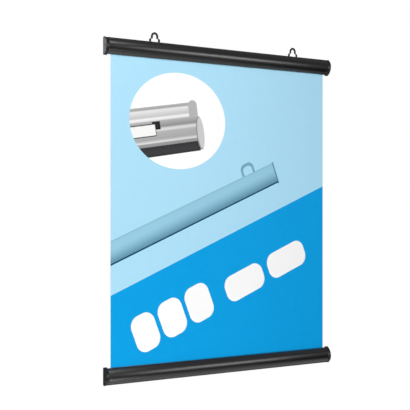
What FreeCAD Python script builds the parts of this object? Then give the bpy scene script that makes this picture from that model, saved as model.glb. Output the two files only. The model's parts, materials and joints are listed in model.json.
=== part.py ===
import FreeCAD, Part
import math
import os

# Hanging banner holder: two snap-open aluminium rails, a printed sheet clamped between them, and two hanging eyes.
# Millimetres. X runs along the rails, -Y is the printed front, +Z is up.
# The origin is midway between the centres of the two hanging eyes, on the wall plane.
# A rail section is drawn in d, the distance in front of the wall plane, and h, the distance from the jaw to the crown.

V = FreeCAD.Vector

# Rail, overall
RAIL_LENGTH = 900.0        # over the collars of its end caps
RAIL_HEIGHT = 51.8         # jaw edge to crown
RAIL_DEPTH = 22.0          # wall plane to the front of the bulge
BULGE_HEIGHT = 29.0        # where the front stands furthest forward
WALL = 1.6

# Sheet
SHEET_WIDTH = 860.0
SHEET_LENGTH = 1000.0
SHEET_THICKNESS = 0.5
CLAMPED_EDGE = 19.0
SHEET_FOLD_GAP = 0.15      # each side of a line where the sheet flexes

# Jaw
SEAT_DEPTH = 4.0           # wall plane to the seat under the grip strip
GRIP_THICKNESS = 0.8
GRIP_WIDTH = 12.4
GRIP_CLEARANCE = 0.1
GRIP_EDGE = 0.5            # height of the ledges beside a grip strip
SEAT_EDGE_WIDTH = 2.4
JAW_SETBACK = 0.4          # how far the metal jaws end above the rail's lower edge
LIP_WALL = 1.4
LIP_NOSE = 1.6             # thickness of the front lip at the rail's lower edge

# Hanger slot in the back
RECESS_DEPTH = 3.2
RECESS_BOTTOM = 24.0
SLOT_CENTRE = 33.0
SLOT_NECK = 6.0
SLOT_WIDTH = 12.0
SLOT_LIP = 1.4
SLOT_DEPTH = 2.4
CHANNEL_WALL = 1.4

# Spring shelf
SHELF_REACH = 7.2
SHELF_LIP = 2.0

# Hinge along the crown
BEAD_RADIUS = 2.5
HINGE_CLEARANCE = 0.08
SOCKET_WALL = 1.8
HINGE_SETBACK = 0.5        # crown metal in front of the recess plane
ARM_ANGLE = -15.0
ARM_REACH = 7.0
ARM_THICKNESS = 1.6
COVER_SWING = 75.0
MOUTH_MARGIN = 5.0
HEEL_CLEARANCE = 0.9
HEEL_WALL = 1.4
HEEL_SPAN = 60.0
SHOULDER_ROUND = 5.0

# End caps
COLLAR_LENGTH = 8.0
FLANGE_THICKNESS = 3.5
FLANGE_PROUD = 1.0
FLANGE_TIP = 3.5           # how far the cap's foot reaches past the jaw edge
PLUG_LENGTH = 12.0
PLUG_CLEARANCE = 0.15
CAP_GAP = 0.2              # each side of the split between back and front caps
CROWN_GAP = 0.3
CAP_CORNER = 5.0
CAP_TIP_ROUND = 3.0

# Leaf springs
SPRING_THICKNESS = 0.6
SPRING_LENGTH = 40.0
SPRING_COUNT = 3
SPRING_SPACING = 290.0
SPRING_BULGE = 2.0
SPRING_SEAT = 1.2          # how far a leaf's foot stands behind the shelf's lip
SPRING_CLEARANCE = 0.15
SPRING_TIP_GAP = 1.0

# Hangers
HANGER_SPACING = 564.0
HANGER_THICKNESS = 2.8
HANGERS_ASIDE = 14.0       # how far the pair stands to the right of the rail's middle
HANGER_STRAND = 7.0
EYE_OUTER_RADIUS = 13.5
EYE_RISE = 18.0            # eye centre above the crown
LEG_SPREAD = 40.0
FLARE_START = 4.0          # below the eye's centre
FLARE_DROP = 6.5
WINDOW_DROP = 7.0          # how far the loop's window reaches below the crown
FOOT_CLEARANCE = 0.2

# Worked out from the sizes above
PROFILE_HALF = RAIL_LENGTH / 2 - COLLAR_LENGTH
SOCKET_INNER = BEAD_RADIUS + HINGE_CLEARANCE
SOCKET_OUTER = SOCKET_INNER + SOCKET_WALL
HINGE_D = RECESS_DEPTH + HINGE_SETBACK + SOCKET_OUTER
HINGE_H = RAIL_HEIGHT - SOCKET_OUTER
SHEET_BACK = SEAT_DEPTH + GRIP_THICKNESS
SHEET_FRONT = SHEET_BACK + SHEET_THICKNESS
SHEET_MIDDLE = (SHEET_BACK + SHEET_FRONT) / 2
LIP_INNER = SHEET_FRONT + GRIP_THICKNESS
LIP_OUTER = LIP_INNER + LIP_NOSE
SEAT_TOP = JAW_SETBACK + 2 * SEAT_EDGE_WIDTH + GRIP_WIDTH
SLOT_FLOOR = RECESS_DEPTH + SLOT_LIP + SLOT_DEPTH
CHANNEL_FRONT = SLOT_FLOOR + CHANNEL_WALL
CHANNEL_BOTTOM = SLOT_CENTRE - SLOT_WIDTH / 2 - CHANNEL_WALL
CHANNEL_TOP = SLOT_CENTRE + SLOT_WIDTH / 2 + CHANNEL_WALL
SHELF_FRONT = CHANNEL_FRONT + SHELF_REACH
HEEL_INNER = SOCKET_OUTER + HEEL_CLEARANCE
HEEL_OUTER = HEEL_INNER + HEEL_WALL
CROWN_Z = -EYE_RISE
TOP_JAW_Z = CROWN_Z - RAIL_HEIGHT
SHEET_VISIBLE = SHEET_LENGTH - 2 * CLAMPED_EDGE
BOTTOM_JAW_Z = TOP_JAW_Z - SHEET_VISIBLE


def along(angle, length):
    a = math.radians(angle)
    return length * math.cos(a), length * math.sin(a)


ARM = along(ARM_ANGLE, 1.0)
ARM_UP = along(ARM_ANGLE + 90.0, ARM_THICKNESS / 2)
SHOULDER_D = HINGE_D + ARM_UP[0] + ARM_REACH * ARM[0]
SHOULDER_H = HINGE_H + ARM_UP[1] + ARM_REACH * ARM[1]


def bulge_radius(d, h):
    """Radius of the arc that is upright at the bulge and passes through d, h."""
    run = RAIL_DEPTH - d
    return (run ** 2 + (h - BULGE_HEIGHT) ** 2) / (2 * run)


LOWER_RADIUS = bulge_radius(LIP_OUTER, 0.0)
UPPER_RADIUS = bulge_radius(SHOULDER_D, SHOULDER_H)


def block(x0, x1, d0, d1, h0, h1):
    return Part.makeBox(x1 - x0, d1 - d0, h1 - h0, V(x0, -d1, h0))


def rod(x0, x1, d, h, radius):
    return Part.makeCylinder(radius, x1 - x0, V(x0, -d, h), V(1, 0, 0))


def prism(x0, x1, points):
    corners = [V(x0, -d, h) for d, h in points]
    face = Part.Face(Part.makePolygon(corners + corners[:1]))
    return face.extrude(V(x1 - x0, 0, 0))


def joined(shapes):
    return shapes[0].fuse(shapes[1:]).removeSplitter()


def wedge(x0, x1, start, end, reach):
    """Sector round the hinge from angle start to angle end."""
    steps = 6
    points = [(HINGE_D, HINGE_H)]
    for i in range(steps + 1):
        out = along(start + (end - start) * i / steps, reach)
        points.append((HINGE_D + out[0], HINGE_H + out[1]))
    return prism(x0, x1, points)


def lens(x0, x1, inset, left, low):
    """Filled space behind the curved front, inset from its outside, in front of left and above low."""
    lower = rod(x0, x1, RAIL_DEPTH - LOWER_RADIUS, BULGE_HEIGHT, LOWER_RADIUS - inset)
    lower = lower.common(block(x0, x1, left, RAIL_DEPTH + FLANGE_PROUD, low, BULGE_HEIGHT))
    upper = rod(x0, x1, RAIL_DEPTH - UPPER_RADIUS, BULGE_HEIGHT, UPPER_RADIUS - inset)
    room = 2 * RAIL_HEIGHT
    level = ARM_THICKNESS / 2 - inset
    up = along(ARM_ANGLE + 90.0, level)
    base = (HINGE_D + up[0], HINGE_H + up[1])
    under_arm = [
        (base[0] - room * ARM[0], base[1] - room * ARM[1]),
        (base[0] - room * ARM[0], -room),
        (base[0] + room * ARM[0], -room),
        (base[0] + room * ARM[0], base[1] + room * ARM[1]),
    ]
    upper = upper.common(block(x0, x1, left, RAIL_DEPTH + FLANGE_PROUD, BULGE_HEIGHT, RAIL_HEIGHT))
    upper = upper.common(prism(x0, x1, under_arm))
    filled = joined([lower, upper])
    straight = [e for e in filled.Edges if abs(e.Length - (x1 - x0)) < 1e-6]
    shoulder = min(straight, key=lambda e: math.hypot(
        e.CenterOfMass.y + SHOULDER_D, e.CenterOfMass.z - SHOULDER_H))
    return filled.makeFillet(SHOULDER_ROUND - inset, [shoulder])


def back_profile():
    x0, x1 = -PROFILE_HALF, PROFILE_HALF
    neck_low = SLOT_CENTRE - SLOT_NECK / 2
    neck_high = SLOT_CENTRE + SLOT_NECK / 2
    inner = RECESS_DEPTH + SLOT_LIP
    edge = SEAT_DEPTH + GRIP_EDGE
    walls = [
        block(x0, x1, 0, WALL, JAW_SETBACK, RECESS_BOTTOM + WALL),
        block(x0, x1, 0, inner, RECESS_BOTTOM, RECESS_BOTTOM + WALL),
        block(x0, x1, RECESS_DEPTH, inner, RECESS_BOTTOM, neck_low),
        block(x0, x1, RECESS_DEPTH, inner, neck_high, HINGE_H),
        block(x0, x1, SLOT_FLOOR, CHANNEL_FRONT, CHANNEL_BOTTOM, CHANNEL_TOP),
        block(x0, x1, RECESS_DEPTH, CHANNEL_FRONT, CHANNEL_BOTTOM, CHANNEL_BOTTOM + CHANNEL_WALL),
        block(x0, x1, RECESS_DEPTH, CHANNEL_FRONT, CHANNEL_TOP - CHANNEL_WALL, CHANNEL_TOP),
        block(x0, x1, SLOT_FLOOR, SHELF_FRONT, CHANNEL_BOTTOM, CHANNEL_BOTTOM + CHANNEL_WALL),
        block(x0, x1, SHELF_FRONT - CHANNEL_WALL, SHELF_FRONT, CHANNEL_BOTTOM,
              CHANNEL_BOTTOM + CHANNEL_WALL + SHELF_LIP),
        block(x0, x1, 0, SEAT_DEPTH, JAW_SETBACK, JAW_SETBACK + WALL),
        block(x0, x1, SEAT_DEPTH - LIP_WALL, SEAT_DEPTH, JAW_SETBACK, SEAT_TOP),
        block(x0, x1, 0, SEAT_DEPTH, SEAT_TOP - WALL, SEAT_TOP),
        block(x0, x1, SEAT_DEPTH - LIP_WALL, edge, JAW_SETBACK, JAW_SETBACK + SEAT_EDGE_WIDTH),
        block(x0, x1, SEAT_DEPTH - LIP_WALL, edge, SEAT_TOP - SEAT_EDGE_WIDTH, SEAT_TOP),
        rod(x0, x1, HINGE_D, HINGE_H, SOCKET_OUTER),
    ]
    body = joined(walls)
    body = body.cut(rod(x0, x1, HINGE_D, HINGE_H, SOCKET_INNER))
    reach = math.degrees(math.asin(ARM_THICKNESS / 2 / SOCKET_INNER)) + MOUTH_MARGIN
    return body.cut(wedge(x0, x1, ARM_ANGLE - reach, ARM_ANGLE + COVER_SWING + reach, 2 * SOCKET_OUTER))


def front_profile():
    x0, x1 = -PROFILE_HALF, PROFILE_HALF
    edge = LIP_INNER - GRIP_EDGE
    rib_low = SEAT_TOP - LIP_WALL
    outside = lens(x0, x1, 0, LIP_INNER, 0)
    hollow = lens(x0, x1, WALL, LIP_INNER - WALL, -WALL)
    shell = outside.cut(hollow).cut(rod(x0, x1, HINGE_D, HINGE_H, SOCKET_OUTER + HEEL_CLEARANCE))
    lip = block(x0, x1, LIP_INNER, LIP_INNER + LIP_WALL, 0, SEAT_TOP)
    rib = block(x0, x1, LIP_INNER, RAIL_DEPTH, rib_low, SEAT_TOP)
    lip_parts = joined([lip, rib]).common(outside)
    arm = prism(x0, x1, [
        (HINGE_D - ARM_UP[0], HINGE_H - ARM_UP[1]),
        (HINGE_D + ARM_UP[0], HINGE_H + ARM_UP[1]),
        (SHOULDER_D, SHOULDER_H),
        (SHOULDER_D - 2 * ARM_UP[0], SHOULDER_H - 2 * ARM_UP[1]),
    ])
    heel = rod(x0, x1, HINGE_D, HINGE_H, HEEL_OUTER)
    heel = heel.cut(rod(x0, x1, HINGE_D, HINGE_H, HEEL_INNER))
    heel = heel.common(wedge(x0, x1, ARM_ANGLE - HEEL_SPAN, ARM_ANGLE, 2 * HEEL_OUTER))
    return joined([
        shell,
        lip_parts,
        block(x0, x1, edge, LIP_INNER + LIP_WALL / 2, 0, SEAT_EDGE_WIDTH + JAW_SETBACK),
        block(x0, x1, edge, LIP_INNER, SEAT_TOP - SEAT_EDGE_WIDTH, SEAT_TOP),
        rod(x0, x1, HINGE_D, HINGE_H, BEAD_RADIUS),
        arm,
        heel,
    ])


def grip_strip(back, front):
    low = JAW_SETBACK + SEAT_EDGE_WIDTH + GRIP_CLEARANCE
    high = SEAT_TOP - SEAT_EDGE_WIDTH - GRIP_CLEARANCE
    return block(-PROFILE_HALF, PROFILE_HALF, back, front, low, high)


def back_side(x0, x1, clear):
    """Everything behind the split between the two caps of one end."""
    step = CHANNEL_FRONT + CAP_GAP - clear
    split = SHEET_MIDDLE - clear
    return prism(x0, x1, [
        (-RAIL_DEPTH, -RAIL_HEIGHT),
        (split, -RAIL_HEIGHT),
        (split, SEAT_TOP),
        (step, RECESS_BOTTOM),
        (step, 2 * RAIL_HEIGHT),
        (-RAIL_DEPTH, 2 * RAIL_HEIGHT),
    ])


def front_cap():
    """Cap of the front profile at the +X end."""
    x0 = PROFILE_HALF
    x1 = RAIL_LENGTH / 2
    x2 = x1 + FLANGE_THICKNESS
    split = SHEET_MIDDLE
    collar = lens(x0, x1, 0, split, -FLANGE_TIP).cut(back_side(x0, x1, -CAP_GAP))
    collar = collar.cut(rod(x0, x1, HINGE_D, HINGE_H, SOCKET_OUTER + CROWN_GAP))
    flange = lens(x1, x2, -FLANGE_PROUD, split, -FLANGE_TIP).cut(back_side(x1, x2, -CAP_GAP))
    flange = flange.cut(rod(x1, x2, HINGE_D, HINGE_H, SOCKET_OUTER + FLANGE_PROUD + CROWN_GAP))
    sweep = math.hypot(SHELF_FRONT - HINGE_D, HINGE_H - CHANNEL_BOTTOM) + CROWN_GAP
    p0 = x0 - PLUG_LENGTH
    plug = lens(p0, x0, WALL + PLUG_CLEARANCE, CHANNEL_FRONT + CAP_GAP, SEAT_TOP + PLUG_CLEARANCE)
    plug = plug.cut(rod(p0, x0, HINGE_D, HINGE_H, sweep))
    return joined([collar, flange, plug])


def back_cap():
    """Cap of the back profile at the +X end."""
    x0 = PROFILE_HALF
    x1 = RAIL_LENGTH / 2
    x2 = x1 + FLANGE_THICKNESS
    collar = joined([
        block(x0, x1, 0, RAIL_DEPTH, JAW_SETBACK, RECESS_BOTTOM + WALL),
        block(x0, x1, RECESS_DEPTH, RAIL_DEPTH, RECESS_BOTTOM, HINGE_H),
    ])
    collar = joined([collar.common(back_side(x0, x1, CAP_GAP)), rod(x0, x1, HINGE_D, HINGE_H, SOCKET_OUTER)])
    foot = block(x0, x1, 0, RAIL_DEPTH, -FLANGE_TIP, JAW_SETBACK).common(back_side(x0, x1, CAP_GAP))
    heel = [e for e in foot.Edges if abs(e.CenterOfMass.y) < 1e-6 and abs(e.CenterOfMass.z + FLANGE_TIP) < 1e-6]
    foot = foot.makeFillet(CAP_TIP_ROUND, heel)
    crown = SOCKET_OUTER + FLANGE_PROUD
    plate = block(x1, x2, 0, HINGE_D, -FLANGE_TIP, RAIL_HEIGHT + FLANGE_PROUD)
    back_edges = [e for e in plate.Edges if abs(e.CenterOfMass.y) < 1e-6 and abs(e.Length - FLANGE_THICKNESS) < 1e-6]
    back_edges.sort(key=lambda e: e.CenterOfMass.z)
    plate = plate.makeFillet(CAP_CORNER, back_edges[-1:])
    plate = joined([plate, block(x1, x2, CAP_CORNER, RAIL_DEPTH, -FLANGE_TIP, HINGE_H)])
    plate = plate.common(back_side(x1, x2, CAP_GAP))
    tips = [e for e in plate.Edges if abs(e.Length - FLANGE_THICKNESS) < 1e-6
            and abs(e.CenterOfMass.y) < 1e-6 and e.CenterOfMass.z < 0]
    plate = plate.makeFillet(CAP_TIP_ROUND, tips)
    flange = joined([plate, rod(x1, x2, HINGE_D, HINGE_H, crown)])
    plug = block(x0 - PLUG_LENGTH, x0, RECESS_DEPTH + SLOT_LIP + PLUG_CLEARANCE, SLOT_FLOOR - PLUG_CLEARANCE,
                 SLOT_CENTRE - SLOT_WIDTH / 2 + PLUG_CLEARANCE, SLOT_CENTRE + SLOT_WIDTH / 2 - PLUG_CLEARANCE)
    return joined([collar, foot, flange, plug])


def leaf_springs():
    """Curved steel leaves between the shelf and the heel of the cover."""
    foot = (SHELF_FRONT - CHANNEL_WALL - SPRING_SEAT - SPRING_THICKNESS / 2,
            CHANNEL_BOTTOM + CHANNEL_WALL + SPRING_CLEARANCE)
    tip = along(ARM_ANGLE - HEEL_SPAN, (HEEL_INNER + HEEL_OUTER) / 2)
    head = (HINGE_D + tip[0], HINGE_H + tip[1])
    run = (head[0] - foot[0], head[1] - foot[1])
    span = math.hypot(run[0], run[1])
    unit = (run[0] / span, run[1] / span)
    head = (head[0] - unit[0] * SPRING_TIP_GAP, head[1] - unit[1] * SPRING_TIP_GAP)
    side = (unit[1], -unit[0])

    def point(where, out):
        return V(0, -(where[0] + side[0] * out), where[1] + side[1] * out)

    middle = ((foot[0] + head[0]) / 2, (foot[1] + head[1]) / 2)
    half = SPRING_THICKNESS / 2
    inner = Part.Arc(point(foot, -half), point(middle, SPRING_BULGE - half), point(head, -half)).toShape()
    outer = Part.Arc(point(head, half), point(middle, SPRING_BULGE + half), point(foot, half)).toShape()
    ends = [
        Part.makeLine(point(head, -half), point(head, half)),
        Part.makeLine(point(foot, half), point(foot, -half)),
    ]
    face = Part.Face(Part.Wire([inner, ends[0], outer, ends[1]]))
    leaf = face.extrude(V(SPRING_LENGTH, 0, 0))
    leaves = []
    for i in range(SPRING_COUNT):
        x = (i - (SPRING_COUNT - 1) / 2) * SPRING_SPACING - SPRING_LENGTH / 2
        leaves.append(leaf.translated(V(x, 0, 0)))
    return Part.makeCompound(leaves)


def loop_face(head, half, low):
    """Keyhole outline: a round head, sides that flare from head to half, and straight legs down to low."""
    step = (half - head) / 2
    fall = FLARE_DROP / 2
    bow = (step ** 2 + fall ** 2) / (2 * step)
    turn = math.atan2(fall, bow - step) / 2
    out = bow * (1 - math.cos(turn))
    down = bow * math.sin(turn)
    edges = []
    for side in (1, -1):
        points = [
            (head, 0), (head, -FLARE_START),
            (head + out, -FLARE_START - down), (head + step, -FLARE_START - fall),
            (half - out, -FLARE_START - FLARE_DROP + down), (half, -FLARE_START - FLARE_DROP),
            (half, low),
        ]
        p = [V(side * px, 0, pz) for px, pz in points]
        edges.append(Part.makeLine(p[0], p[1]))
        edges.append(Part.Arc(p[1], p[2], p[3]).toShape())
        edges.append(Part.Arc(p[3], p[4], p[5]).toShape())
        edges.append(Part.makeLine(p[5], p[6]))
    edges.append(Part.makeLine(V(-half, 0, low), V(half, 0, low)))
    edges.append(Part.Arc(V(-head, 0, 0), V(0, 0, head), V(head, 0, 0)).toShape())
    return Part.Face(Part.Wire(Part.__sortEdges__(edges)))


def hanger(x):
    """Plastic loop whose foot slides in the slot of the back profile; drawn about the eye's centre."""
    half = LEG_SPREAD / 2
    low = TOP_JAW_Z + SLOT_CENTRE - SLOT_WIDTH / 2
    through = V(0, -HANGER_THICKNESS, 0)
    plate = loop_face(EYE_OUTER_RADIUS, half, low).extrude(through)
    window = loop_face(EYE_OUTER_RADIUS - HANGER_STRAND, half - HANGER_STRAND, CROWN_Z - WINDOW_DROP)
    plate = plate.cut(window.extrude(through))
    inner = RECESS_DEPTH + SLOT_LIP
    neck = block(-half, half, HANGER_THICKNESS, inner + FOOT_CLEARANCE,
                 SLOT_CENTRE - SLOT_NECK / 2 + FOOT_CLEARANCE, SLOT_CENTRE + SLOT_NECK / 2 - FOOT_CLEARANCE)
    foot = block(-half, half, inner + FOOT_CLEARANCE, SLOT_FLOOR - FOOT_CLEARANCE,
                 SLOT_CENTRE - SLOT_WIDTH / 2 + FOOT_CLEARANCE, SLOT_CENTRE + SLOT_WIDTH / 2 - FOOT_CLEARANCE)
    shift = V(0, 0, TOP_JAW_Z)
    return joined([plate, neck.translated(shift), foot.translated(shift)]).translated(V(x, 0, 0))


def sheet_edge():
    half = SHEET_WIDTH / 2
    return block(-half, half, SHEET_BACK, SHEET_FRONT, SHEET_FOLD_GAP, CLAMPED_EDGE)


def sheet_panel():
    half = SHEET_WIDTH / 2
    return block(-half, half, SHEET_BACK, SHEET_FRONT, BOTTOM_JAW_Z + SHEET_FOLD_GAP, TOP_JAW_Z - SHEET_FOLD_GAP)


def mirrored(shape):
    return shape.mirror(V(0, 0, 0), V(1, 0, 0))


def rail_pieces():
    """Pieces of one rail with its jaw edge at height 0 and its crown up."""
    cover_end = front_cap()
    back_end = back_cap()
    return {
        "back_profile": back_profile(),
        "front_profile": front_profile(),
        "back_grip_strip": grip_strip(SEAT_DEPTH, SHEET_BACK),
        "front_grip_strip": grip_strip(SHEET_FRONT, LIP_INNER),
        "back_cap_left": mirrored(back_end),
        "back_cap_right": back_end,
        "front_cap_left": mirrored(cover_end),
        "front_cap_right": cover_end,
        "leaf_springs": leaf_springs(),
        "sheet_edge": sheet_edge(),
    }


def bottom_name(name):
    """The bottom rail is turned half round about Y, so its ends change sides."""
    if name.endswith("left"):
        return name[:-len("left")] + "right"
    if name.endswith("right"):
        return name[:-len("right")] + "left"
    return name


def build():
    nodes = {}
    for name, shape in rail_pieces().items():
        nodes["top_" + name] = shape.translated(V(0, 0, TOP_JAW_Z))
        turned = shape.copy()
        turned.rotate(V(0, 0, 0), V(0, 1, 0), 180)
        nodes["bottom_" + bottom_name(name)] = turned.translated(V(0, 0, BOTTOM_JAW_Z))
    nodes["hanger_left"] = hanger(HANGERS_ASIDE - HANGER_SPACING / 2)
    nodes["hanger_right"] = hanger(HANGERS_ASIDE + HANGER_SPACING / 2)
    nodes["printed_sheet"] = sheet_panel()
    return nodes


os.makedirs("parts", exist_ok=True)
for node, solid in build().items():
    solid.exportStep("parts/" + node + ".step")
    print(node, len(solid.Solids), solid.isValid(), round(solid.Volume / 1000, 2), "cm3")
print("hinge", round(HINGE_D, 3), round(HINGE_H, 3), "top jaw", TOP_JAW_Z, "bottom jaw", BOTTOM_JAW_Z)
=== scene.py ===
import json
import math

import bpy
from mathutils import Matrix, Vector


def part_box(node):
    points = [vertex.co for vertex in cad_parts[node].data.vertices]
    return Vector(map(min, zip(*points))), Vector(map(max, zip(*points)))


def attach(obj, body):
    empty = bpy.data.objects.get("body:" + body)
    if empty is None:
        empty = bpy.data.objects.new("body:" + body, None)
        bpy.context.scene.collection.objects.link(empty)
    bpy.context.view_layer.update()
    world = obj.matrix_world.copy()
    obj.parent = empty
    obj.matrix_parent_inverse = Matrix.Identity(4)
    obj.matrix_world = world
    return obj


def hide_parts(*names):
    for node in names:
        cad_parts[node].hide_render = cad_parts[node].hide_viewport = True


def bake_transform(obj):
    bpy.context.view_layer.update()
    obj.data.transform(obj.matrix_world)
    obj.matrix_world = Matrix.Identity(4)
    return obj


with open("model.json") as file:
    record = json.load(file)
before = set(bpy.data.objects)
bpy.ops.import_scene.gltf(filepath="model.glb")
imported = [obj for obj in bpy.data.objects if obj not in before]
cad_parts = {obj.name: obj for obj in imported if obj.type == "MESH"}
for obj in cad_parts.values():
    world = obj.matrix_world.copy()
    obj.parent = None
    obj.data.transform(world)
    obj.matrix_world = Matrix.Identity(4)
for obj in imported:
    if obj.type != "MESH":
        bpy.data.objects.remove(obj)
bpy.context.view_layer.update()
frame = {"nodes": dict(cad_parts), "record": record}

# Hanging banner holder: black snap rails above and below a printed film,
# with two plastic loops behind the upper rail.
# Metres. X runs along the rails, -Y is the printed front, +Z is up.

MM = 0.001
NODES = frame["nodes"]
BODY_OF = {name: body
           for body, names in frame["record"]["behaviour"]["bodies"].items()
           for name in names}
SCENE = bpy.context.scene

PANEL_LOW, PANEL_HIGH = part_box("printed_sheet")
EDGE_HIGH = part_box("top_sheet_edge")[1]
FILM_WIDTH = PANEL_HIGH.x - PANEL_LOW.x
FILM_THICKNESS = PANEL_HIGH.y - PANEL_LOW.y
FILM_TOP = EDGE_HIGH.z
FILM_BOTTOM = PANEL_LOW.z
FILM_HEIGHT = FILM_TOP - FILM_BOTTOM
PRINT_MIDDLE = (PANEL_LOW.z + PANEL_HIGH.z) / 2

WELD = 0.002 * MM
FLAT_ANGLE = math.radians(0.4)
SHARP_ANGLE = math.radians(40)
SMOOTH_ANGLE = math.radians(28)
PROFILE_ROUND = 0.15 * MM
CAP_ROUND = 0.35 * MM
CAP_RIM = 1.2 * MM
CAP_SINK = 0.35 * MM
LOOP_ROUND = 0.7 * MM
MOULD_GRAIN = 0.5 * MM
FOAM_PORE = 0.6 * MM


# Materials

def srgb(code):
    """Linear colour of an sRGB hex value."""
    parts = [int(code[i:i + 2], 16) / 255 for i in (1, 3, 5)]
    return [p / 12.92 if p <= 0.04045 else ((p + 0.055) / 1.055) ** 2.4 for p in parts] + [1.0]


def add(tree, kind, settings=None, values=None, links=None):
    """A node with its settings, its own input values and its links."""
    node = tree.nodes.new(kind)
    for key, value in (settings or {}).items():
        setattr(node, key, value)
    for key, value in (values or {}).items():
        node.inputs[key].default_value = value
    for key, source in (links or {}).items():
        tree.links.new(source, node.inputs[key])
    return node


def started(name):
    material = bpy.data.materials.new(name)
    material.use_nodes = True
    tree = material.node_tree
    return material, tree, tree.nodes["Principled BSDF"]


def black_anodised_aluminium():
    """Satin black anodised extrusion: faint drawn lines, and a cloudy dye that breaks the gloss."""
    material, tree, shader = started("black_anodised_aluminium")
    place = add(tree, "ShaderNodeTexCoord")
    drawn = add(tree, "ShaderNodeMapping", values={"Scale": (3.0, 1100.0, 1100.0)},
                links={"Vector": place.outputs["Object"]})
    lines = add(tree, "ShaderNodeTexNoise", values={"Scale": 1.0, "Detail": 3.0, "Roughness": 0.6},
                links={"Vector": drawn.outputs["Vector"]})
    cloud = add(tree, "ShaderNodeTexNoise", values={"Scale": 45.0, "Detail": 5.0},
                links={"Vector": place.outputs["Object"]})
    dye = add(tree, "ShaderNodeValToRGB", links={"Fac": cloud.outputs["Fac"]})
    dye.color_ramp.elements[0].color = srgb("#09090a")
    dye.color_ramp.elements[1].color = srgb("#121214")
    gloss = add(tree, "ShaderNodeMapRange", values={"To Min": 0.26, "To Max": 0.36},
                links={"Value": lines.outputs["Fac"]})
    relief = add(tree, "ShaderNodeBump", values={"Strength": 0.06, "Distance": 0.02 * MM},
                 links={"Height": lines.outputs["Fac"]})
    tree.links.new(dye.outputs["Color"], shader.inputs["Base Color"])
    tree.links.new(gloss.outputs["Result"], shader.inputs["Roughness"])
    tree.links.new(relief.outputs["Normal"], shader.inputs["Normal"])
    shader.inputs["Specular IOR Level"].default_value = 0.9
    return material


def black_moulded_plastic(name, low, high, rough):
    """Moulded ABS: fine spark texture under an uneven satin, so edges catch the light and faces stay soft."""
    material, tree, shader = started(name)
    place = add(tree, "ShaderNodeTexCoord")
    grain = add(tree, "ShaderNodeTexNoise", values={"Scale": 1 / MOULD_GRAIN, "Detail": 2.0},
                links={"Vector": place.outputs["Object"]})
    patch = add(tree, "ShaderNodeTexNoise", values={"Scale": 80.0, "Detail": 3.0},
                links={"Vector": place.outputs["Object"]})
    tone = add(tree, "ShaderNodeValToRGB", links={"Fac": patch.outputs["Fac"]})
    tone.color_ramp.elements[0].color = srgb(low)
    tone.color_ramp.elements[1].color = srgb(high)
    gloss = add(tree, "ShaderNodeMapRange", values={"To Min": rough - 0.05, "To Max": rough + 0.08},
                links={"Value": patch.outputs["Fac"]})
    relief = add(tree, "ShaderNodeBump", values={"Strength": 0.2, "Distance": 0.03 * MM},
                 links={"Height": grain.outputs["Fac"]})
    tree.links.new(tone.outputs["Color"], shader.inputs["Base Color"])
    tree.links.new(gloss.outputs["Result"], shader.inputs["Roughness"])
    tree.links.new(relief.outputs["Normal"], shader.inputs["Normal"])
    return material


def black_cellular_rubber():
    """Foamed grip strip: matt, with open pores about half a millimetre across."""
    material, tree, shader = started("black_cellular_rubber")
    place = add(tree, "ShaderNodeTexCoord")
    pores = add(tree, "ShaderNodeTexVoronoi", values={"Scale": 1 / FOAM_PORE},
                links={"Vector": place.outputs["Object"]})
    tone = add(tree, "ShaderNodeValToRGB", links={"Fac": pores.outputs["Distance"]})
    tone.color_ramp.elements[0].color = srgb("#1c1c1d")
    tone.color_ramp.elements[1].color = srgb("#343436")
    relief = add(tree, "ShaderNodeBump", values={"Strength": 0.5, "Distance": 0.1 * MM},
                 links={"Height": pores.outputs["Distance"]})
    tree.links.new(tone.outputs["Color"], shader.inputs["Base Color"])
    tree.links.new(relief.outputs["Normal"], shader.inputs["Normal"])
    shader.inputs["Roughness"].default_value = 0.92
    return material


def rolled_spring_steel():
    """Bright rolled strip: fine lines across the leaf and a clean metal sheen."""
    material, tree, shader = started("rolled_spring_steel")
    place = add(tree, "ShaderNodeTexCoord")
    rolled = add(tree, "ShaderNodeMapping", values={"Scale": (2500.0, 60.0, 60.0)},
                 links={"Vector": place.outputs["Object"]})
    lines = add(tree, "ShaderNodeTexNoise", values={"Scale": 1.0, "Detail": 2.0},
                links={"Vector": rolled.outputs["Vector"]})
    tone = add(tree, "ShaderNodeValToRGB", links={"Fac": lines.outputs["Fac"]})
    tone.color_ramp.elements[0].color = srgb("#8e9094")
    tone.color_ramp.elements[1].color = srgb("#c3c5c8")
    gloss = add(tree, "ShaderNodeMapRange", values={"To Min": 0.22, "To Max": 0.38},
                links={"Value": lines.outputs["Fac"]})
    tree.links.new(tone.outputs["Color"], shader.inputs["Base Color"])
    tree.links.new(gloss.outputs["Result"], shader.inputs["Roughness"])
    shader.inputs["Metallic"].default_value = 1.0
    return material


def film_finish(tree, shader, spot):
    """Coated film: a soft satin with a very slight orange peel from the coating."""
    peel = add(tree, "ShaderNodeTexNoise", values={"Scale": 1 / 6.0, "Detail": 3.0}, links={"Vector": spot})
    gloss = add(tree, "ShaderNodeMapRange", values={"To Min": 0.58, "To Max": 0.68},
                links={"Value": peel.outputs["Fac"]})
    relief = add(tree, "ShaderNodeBump", values={"Strength": 0.1, "Distance": 0.05 * MM},
                 links={"Height": peel.outputs["Fac"]})
    tree.links.new(gloss.outputs["Result"], shader.inputs["Roughness"])
    tree.links.new(relief.outputs["Normal"], shader.inputs["Normal"])
    shader.inputs["Specular IOR Level"].default_value = 0.1


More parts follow.
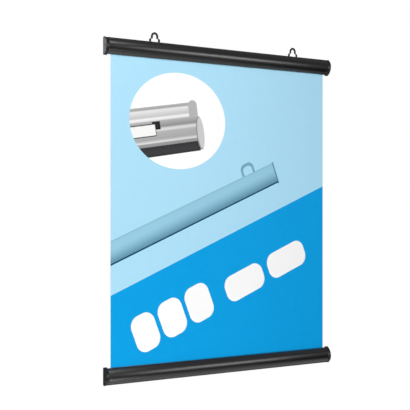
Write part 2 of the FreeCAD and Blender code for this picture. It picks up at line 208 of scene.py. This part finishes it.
def blank_film(name, low, high):
    """Unprinted or plainly printed PVC film: satin, with the faint mottle of the coating."""
    material, tree, shader = started(name)
    place = add(tree, "ShaderNodeTexCoord")
    spot = add(tree, "ShaderNodeMapping", values={"Scale": (1 / MM, 1 / MM, 1 / MM)},
               links={"Vector": place.outputs["Object"]})
    mottle = add(tree, "ShaderNodeTexNoise", values={"Scale": 1 / 25.0, "Detail": 3.0},
                 links={"Vector": spot.outputs["Vector"]})
    tone = add(tree, "ShaderNodeValToRGB", links={"Fac": mottle.outputs["Fac"]})
    tone.color_ramp.elements[0].color = srgb(low)
    tone.color_ramp.elements[1].color = srgb(high)
    tree.links.new(tone.outputs["Color"], shader.inputs["Base Color"])
    film_finish(tree, shader, spot.outputs["Vector"])
    return material


# The printed drawing is laid down ink by ink, in millimetres from the middle of the banner.

PICTURE_SLOPE = 22.0
DISC_MIDDLE = (-179, 288)
DISC_HALF = (184, 154)
RAIL_END_SLOPE = 8.5
RAIL_END_MIDDLE = (-108, 288)
SQUARE_CORNER = 0.2
CAPTION_CORNER = 34
CAPTION_BLOCKS = ((-423, -238, 45, 60), (-315, -238, 47, 60), (-203, -238, 49, 60),
                  (-9, -252, 83, 44), (184, -252, 85, 44))


def turned(along, up, slope, middle=(0, 0)):
    """Place in the drawing of a point given along and across a picture turned about middle."""
    turn = math.radians(slope)
    return (middle[0] + along * math.cos(turn) - up * math.sin(turn),
            middle[1] + along * math.sin(turn) + up * math.cos(turn))


def on_slant(along, up):
    return turned(along, up, PICTURE_SLOPE)


def on_rail_end(along, up):
    return turned(along, up, RAIL_END_SLOPE, RAIL_END_MIDDLE)


def block_ink(tree, under, spot, colour, middle, half, corner=SQUARE_CORNER, slope=0.0, within=None):
    """Lays a round-cornered block of ink. The colour is a hex value or another output."""
    place = add(tree, "ShaderNodeMapping", {"vector_type": "TEXTURE"},
                {"Location": (*middle, 0), "Rotation": (0, 0, math.radians(slope))}, {"Vector": spot})
    away = add(tree, "ShaderNodeVectorMath", {"operation": "ABSOLUTE"}, links={0: place.outputs[0]})
    past = add(tree, "ShaderNodeVectorMath", {"operation": "SUBTRACT"},
               {1: (half[0] - corner, half[1] - corner, 0)}, {0: away.outputs[0]})
    outside = add(tree, "ShaderNodeVectorMath", {"operation": "MAXIMUM"}, {1: (0, 0, 0)},
                  {0: past.outputs[0]})
    length = add(tree, "ShaderNodeVectorMath", {"operation": "LENGTH"}, links={0: outside.outputs[0]})
    mask = add(tree, "ShaderNodeMath", {"operation": "LESS_THAN"}, {1: corner}, {0: length.outputs["Value"]})
    return laid(tree, under, mask, colour, within)


def oval_mask(tree, spot, middle, half, slope=0.0):
    """One inside an oval and nothing outside it."""
    place = add(tree, "ShaderNodeMapping", {"vector_type": "TEXTURE"},
                {"Location": (*middle, 0), "Rotation": (0, 0, math.radians(slope)), "Scale": (*half, 1)},
                {"Vector": spot})
    length = add(tree, "ShaderNodeVectorMath", {"operation": "LENGTH"}, links={0: place.outputs[0]})
    return add(tree, "ShaderNodeMath", {"operation": "LESS_THAN"}, {1: 1.0}, {0: length.outputs["Value"]})


def oval_ink(tree, under, spot, colour, middle, half, slope=0.0, within=None):
    """Lays a filled oval of ink."""
    return laid(tree, under, oval_mask(tree, spot, middle, half, slope), colour, within)


def laid(tree, under, mask, colour, within):
    """One ink over another, kept within another shape's mask where one is given."""
    if within:
        mask = add(tree, "ShaderNodeMath", {"operation": "MULTIPLY"},
                   links={0: mask.outputs[0], 1: within.outputs[0]})
    ink = add(tree, "ShaderNodeMix", {"data_type": "RGBA"}, links={0: mask.outputs[0], 6: under})
    if isinstance(colour, str):
        ink.inputs[7].default_value = srgb(colour)
    else:
        tree.links.new(colour, ink.inputs[7])
    return ink.outputs[2]


def graded(tree, spot, middle, slope, stops):
    """Colour that runs across a slanted picture through (millimetres, hex) stops."""
    place = add(tree, "ShaderNodeMapping", {"vector_type": "TEXTURE"},
                {"Location": (*middle, 0), "Rotation": (0, 0, math.radians(slope))}, {"Vector": spot})
    across = add(tree, "ShaderNodeSeparateXYZ", links={"Vector": place.outputs[0]})
    low, high = stops[0][0], stops[-1][0]
    share = add(tree, "ShaderNodeMapRange", values={"From Min": low, "From Max": high},
                links={"Value": across.outputs["Y"]})
    ramp = add(tree, "ShaderNodeValToRGB", links={"Fac": share.outputs["Result"]})
    keys = ramp.color_ramp.elements
    keys[1].position = 1.0
    keys[0].color, keys[1].color = srgb(stops[0][1]), srgb(stops[-1][1])
    for at, code in stops[1:-1]:
        keys.new((at - low) / (high - low)).color = srgb(code)
    return ramp.outputs["Color"]


def printed_film():
    """Digitally printed PVC film: clean flat inks under a matt laminate, with the mottle of solid ink."""
    material, tree, shader = started("printed_pvc_film")
    uv = add(tree, "ShaderNodeUVMap", {"uv_map": "film"})
    sized = add(tree, "ShaderNodeMapping",
                values={"Scale": (FILM_WIDTH / MM, FILM_HEIGHT / MM, 1.0),
                        "Location": (-FILM_WIDTH / 2 / MM, (FILM_BOTTOM - PRINT_MIDDLE) / MM, 0.0)},
                links={"Vector": uv.outputs["UV"]})
    spot = sized.outputs["Vector"]
    mottle = add(tree, "ShaderNodeTexNoise", values={"Scale": 1 / 30.0, "Detail": 3.0},
                 links={"Vector": spot})
    sky = add(tree, "ShaderNodeValToRGB", links={"Fac": mottle.outputs["Fac"]})
    sky.color_ramp.elements[0].color = srgb("#abddf5")
    sky.color_ramp.elements[1].color = srgb("#afe1f8")
    deep = add(tree, "ShaderNodeValToRGB", links={"Fac": mottle.outputs["Fac"]})
    deep.color_ramp.elements[0].color = srgb("#009ce1")
    deep.color_ramp.elements[1].color = srgb("#02a2e6")
    ink = sky.outputs["Color"]
    slant = {"slope": PICTURE_SLOPE}

    # A deeper blue field below a slanted edge.
    ink = block_ink(tree, ink, spot, deep.outputs["Color"], on_slant(0, -580), (900, 500), **slant)

    # Plain blocks stand where a caption would be.
    for along, up, half_width, half_height in CAPTION_BLOCKS:
        ink = block_ink(tree, ink, spot, "#fdfdfd", on_slant(along, up), (half_width, half_height),
                        CAPTION_CORNER, **slant)

    # Faded picture of a rail with one loop.
    body = graded(tree, spot, (0, 0), PICTURE_SLOPE,
                  [(6, "#5e92ab"), (18, "#6a9cb4"), (34, "#86bad1"), (50, "#97cbe1"), (68, "#97cae0"),
                   (76, "#8abcd2")])
    ink = block_ink(tree, ink, spot, "#74a7bf", on_slant(142, 88), (28, 26), 20, **slant)
    ink = block_ink(tree, ink, spot, sky.outputs["Color"], on_slant(142, 82), (19, 22), 14, **slant)
    ink = block_ink(tree, ink, spot, body, on_slant(-300, 41), (550, 35), **slant)
    ink = block_ink(tree, ink, spot, "#5588a0", on_slant(250.5, 40), (2.5, 38), **slant)
    ink = block_ink(tree, ink, spot, "#0b4160", on_slant(-300, 7.5), (550, 2.5), **slant)

    # White disc with a plain picture of an opened rail end.
    ink = oval_ink(tree, ink, spot, "#ffffff", DISC_MIDDLE, DISC_HALF)
    in_disc = {"slope": RAIL_END_SLOPE, "within": oval_mask(tree, spot, DISC_MIDDLE, DISC_HALF)}
    cover = graded(tree, spot, on_rail_end(0, 0), RAIL_END_SLOPE,
                   [(20, "#d6d6d6"), (28, "#f2f2f2"), (34, "#c4c4c4"), (54, "#e6e6e6"), (58, "#a2a2a2"),
                    (66, "#b4b4b4")])
    shelf = graded(tree, spot, on_rail_end(0, 0), RAIL_END_SLOPE,
                   [(-60, "#8e8e8e"), (-50, "#a0a0a0"), (-48, "#e2e2e2"), (-38, "#a8a8a8"), (-16, "#b2b2b2"),
                    (-10, "#dcdcdc"), (-4, "#c9c9c9"), (0, "#8e8e8e"), (20, "#b4b4b4")])
    jaw = graded(tree, spot, on_rail_end(0, 0), RAIL_END_SLOPE,
                 [(-100, "#2e2e30"), (-80, "#3d3d3f"), (-60, "#343436")])
    ink = block_ink(tree, ink, spot, cover, on_rail_end(-160, 43), (140, 23), **in_disc)
    ink = block_ink(tree, ink, spot, "#b4b4b4", on_rail_end(-10, 40), (17, 32), 16, **in_disc)
    ink = block_ink(tree, ink, spot, shelf, on_rail_end(-150, -20), (150, 40), **in_disc)
    ink = block_ink(tree, ink, spot, "#262626", on_rail_end(-157, 5), (15, 13), **in_disc)
    ink = block_ink(tree, ink, spot, "#3b3b3b", on_rail_end(-230, -8), (70, 20), **in_disc)
    ink = block_ink(tree, ink, spot, "#f4f4f2", on_rail_end(-232, -8), (70, 17), **in_disc)
    ink = block_ink(tree, ink, spot, jaw, on_rail_end(-120, -76), (122, 16), **in_disc)
    ink = oval_ink(tree, ink, spot, "#8c8c8c", on_rail_end(8, -36), (15, 54), **in_disc)
    ink = oval_ink(tree, ink, spot, "#cbcbcb", on_rail_end(10, -36), (13, 51), **in_disc)
    tree.links.new(ink, shader.inputs["Base Color"])
    film_finish(tree, shader, spot)
    return material


ANODISED = black_anodised_aluminium()
CAP_PLASTIC = black_moulded_plastic("black_moulded_cap_plastic", "#121213", "#1c1c1e", 0.36)
LOOP_PLASTIC = black_moulded_plastic("black_moulded_loop_plastic", "#0c0c0d", "#151516", 0.40)
RUBBER = black_cellular_rubber()
STEEL = rolled_spring_steel()
PRINTED = printed_film()
WHITE_BACK = blank_film("white_pvc_film_back", "#ececea", "#f6f6f4")
PLAIN_BLUE = blank_film("blue_printed_pvc_edge", "#009ade", "#04a4e8")


# Pieces

def nothing_selected():
    if bpy.context.object and bpy.context.object.mode != "OBJECT":
        bpy.ops.object.mode_set(mode="OBJECT")
    bpy.ops.object.select_all(action="DESELECT")


def only(obj):
    nothing_selected()
    obj.select_set(True)
    bpy.context.view_layer.objects.active = obj


def merged_copy(node):
    """The CAD piece with its loose triangles joined up, on its own mesh."""
    source = NODES[node]
    piece = bpy.data.objects.new(node + "_finished", source.data.copy())
    SCENE.collection.objects.link(piece)
    only(piece)
    bpy.ops.object.mode_set(mode="EDIT")
    bpy.ops.mesh.select_all(action="SELECT")
    bpy.ops.mesh.remove_doubles(threshold=WELD)
    bpy.ops.mesh.dissolve_limited(angle_limit=FLAT_ANGLE)
    bpy.ops.object.mode_set(mode="OBJECT")
    return piece


def select_faces(piece, wanted):
    """Selects the faces that wanted(face) picks, and returns how many."""
    mesh = piece.data
    for vertex in mesh.vertices:
        vertex.select = False
    for edge in mesh.edges:
        edge.select = False
    count = 0
    for face in mesh.polygons:
        face.select = bool(wanted(face))
        count += face.select
    return count


def inset_faces(piece, wanted, margin, sink):
    only(piece)
    if not select_faces(piece, wanted):
        return
    bpy.ops.object.mode_set(mode="EDIT")
    bpy.context.tool_settings.mesh_select_mode = (False, False, True)
    bpy.ops.mesh.inset(thickness=margin, depth=-sink, use_even_offset=True)
    bpy.ops.object.mode_set(mode="OBJECT")


def softened(piece, width, segments):
    """Rounds the sharp edges and smooths the shading between them."""
    only(piece)
    bevel = piece.modifiers.new("edge", "BEVEL")
    bevel.width = width
    bevel.segments = segments
    bevel.limit_method = "ANGLE"
    bevel.angle_limit = SHARP_ANGLE
    bevel.use_clamp_overlap = True
    bpy.ops.object.modifier_apply(modifier="edge")
    bpy.ops.object.shade_smooth_by_angle(angle=SMOOTH_ANGLE)


def finish_piece(piece, node, material):
    piece.data.materials.clear()
    piece.data.materials.append(material)
    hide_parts(node)
    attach(piece, BODY_OF[node])


def make_profiles():
    for node in NODES:
        if node.endswith("_profile"):
            piece = merged_copy(node)
            softened(piece, PROFILE_ROUND, 2)
            finish_piece(piece, node, ANODISED)


def make_caps():
    for node in NODES:
        if "_cap_" in node:
            piece = merged_copy(node)
            outer = max(abs(v.co.x) for v in piece.data.vertices)
            inset_faces(piece, lambda f: abs(f.normal.x) > 0.99 and abs(f.center.x) > outer - 0.1 * MM,
                        CAP_RIM, CAP_SINK)
            softened(piece, CAP_ROUND, 3)
            finish_piece(piece, node, CAP_PLASTIC)


def make_loops():
    for node in ("hanger_left", "hanger_right"):
        piece = merged_copy(node)
        softened(piece, LOOP_ROUND, 3)
        finish_piece(piece, node, LOOP_PLASTIC)


def make_film():
    """One sheet of film, from its edge in the upper jaw to the mouth of the lower jaw."""
    nothing_selected()
    centre = (0, (PANEL_LOW.y + PANEL_HIGH.y) / 2 - FILM_THICKNESS / 2, (FILM_TOP + FILM_BOTTOM) / 2)
    bpy.ops.mesh.primitive_plane_add(size=1, location=centre, rotation=(math.radians(90), 0, 0))
    film = bpy.context.object
    film.name = "printed_film"
    film.scale = (FILM_WIDTH, FILM_HEIGHT, 1)
    bpy.ops.object.transform_apply(location=True, rotation=True, scale=True)
    bpy.ops.object.mode_set(mode="EDIT")
    bpy.ops.mesh.select_all(action="SELECT")
    bpy.ops.mesh.subdivide(number_cuts=63)
    bpy.ops.object.mode_set(mode="OBJECT")
    film.data.uv_layers[0].name = "film"
    for material in (PRINTED, WHITE_BACK):
        film.data.materials.append(material)
    sheet = film.modifiers.new("thickness", "SOLIDIFY")
    sheet.thickness = FILM_THICKNESS
    sheet.offset = -1
    sheet.material_offset = 1
    sheet.material_offset_rim = 1
    only(film)
    bpy.ops.object.modifier_apply(modifier="thickness")
    bpy.ops.object.shade_smooth_by_angle(angle=SMOOTH_ANGLE)
    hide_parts("printed_sheet", "top_sheet_edge")
    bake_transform(film)


# The first word that a node's name holds gives its material.
NODE_MATERIALS = (("grip", RUBBER), ("springs", STEEL), ("sheet", PLAIN_BLUE), ("profile", ANODISED),
                  ("hanger", LOOP_PLASTIC), ("cap", CAP_PLASTIC))

for name, node in NODES.items():
    node.data.materials.clear()
    node.data.materials.append(next(material for word, material in NODE_MATERIALS if word in name))

make_profiles()
make_caps()
make_loops()
make_film()
nothing_selected()


# Camera

AZIMUTH = math.radians(-36.0)
DISTANCE = 3.628
MIDDLE = (0, 0, PRINT_MIDDLE)
camera_data = bpy.data.cameras.new("camera")
camera = bpy.data.objects.new("camera", camera_data)
SCENE.collection.objects.link(camera)
camera.location = Vector(MIDDLE) + DISTANCE * Vector((math.sin(AZIMUTH), -math.cos(AZIMUTH), 0.0))
camera.rotation_euler = (math.radians(90), 0, AZIMUTH)
camera_data.sensor_width = 36.0
camera_data.lens = 96.6
camera_data.shift_x = -0.044
camera_data.shift_y = 0.015
SCENE.camera = camera


# Studio

def soft_box(name, place, look, width, height, energy, spread=180):
    """A rectangular lamp at place, turned to face look."""
    light = bpy.data.lights.new(name, "AREA")
    light.shape = "RECTANGLE"
    light.size = width
    light.size_y = height
    light.energy = energy
    light.spread = math.radians(spread)
    lamp = bpy.data.objects.new(name, light)
    SCENE.collection.objects.link(lamp)
    lamp.location = place
    lamp.rotation_euler = (Vector(look) - Vector(place)).to_track_quat("-Z", "Y").to_euler()


FLOOR_LEVEL = -2.3
soft_box("upper_soft_box", (-0.9, -1.4, 1.0), MIDDLE, 1.6, 0.8, 30)
soft_box("lower_soft_box", (-0.9, -1.4, -2.1), MIDDLE, 1.6, 0.8, 27)
soft_box("gridded_strip_box", (1.9, -3.1, -0.2), (0, 0, -0.35), 3.0, 0.6, 6, spread=70)
soft_box("rear_soft_box", (0.2, 2.6, 1.3), (0, 0.5, -1.5), 3.0, 1.2, 130)
soft_box("end_cap_box", (-2.6, 2.6, 0.0), (-0.4, 0, -0.5), 1.6, 1.6, 45)

bpy.ops.mesh.primitive_plane_add(size=6, location=(0, 0, FLOOR_LEVEL))
floor = bpy.context.object
floor.name = "floor"
floor_paint, _, floor_shader = started("pale_matt_floor")
floor_shader.inputs["Base Color"].default_value = srgb("#e6e6e4")
floor_shader.inputs["Roughness"].default_value = 0.9
floor.data.materials.append(floor_paint)

world = bpy.data.worlds.new("studio")
world.use_nodes = True
tree = world.node_tree
background = tree.nodes["Background"]
seen = add(tree, "ShaderNodeLightPath")
way = add(tree, "ShaderNodeTexCoord")
rise = add(tree, "ShaderNodeSeparateXYZ", links={"Vector": way.outputs["Generated"]})
dome = add(tree, "ShaderNodeMapRange",
           values={"From Min": -0.1, "From Max": 0.6, "To Min": 0.01, "To Max": 0.22},
           links={"Value": rise.outputs["Z"]})
level = add(tree, "ShaderNodeMix", values={"B": 1.0},
            links={"Factor": seen.outputs["Is Camera Ray"], "A": dome.outputs["Result"]})
background.inputs["Color"].default_value = (1, 1, 1, 1)
tree.links.new(level.outputs["Result"], background.inputs["Strength"])
SCENE.world = world
SCENE.view_settings.view_transform = "Standard"
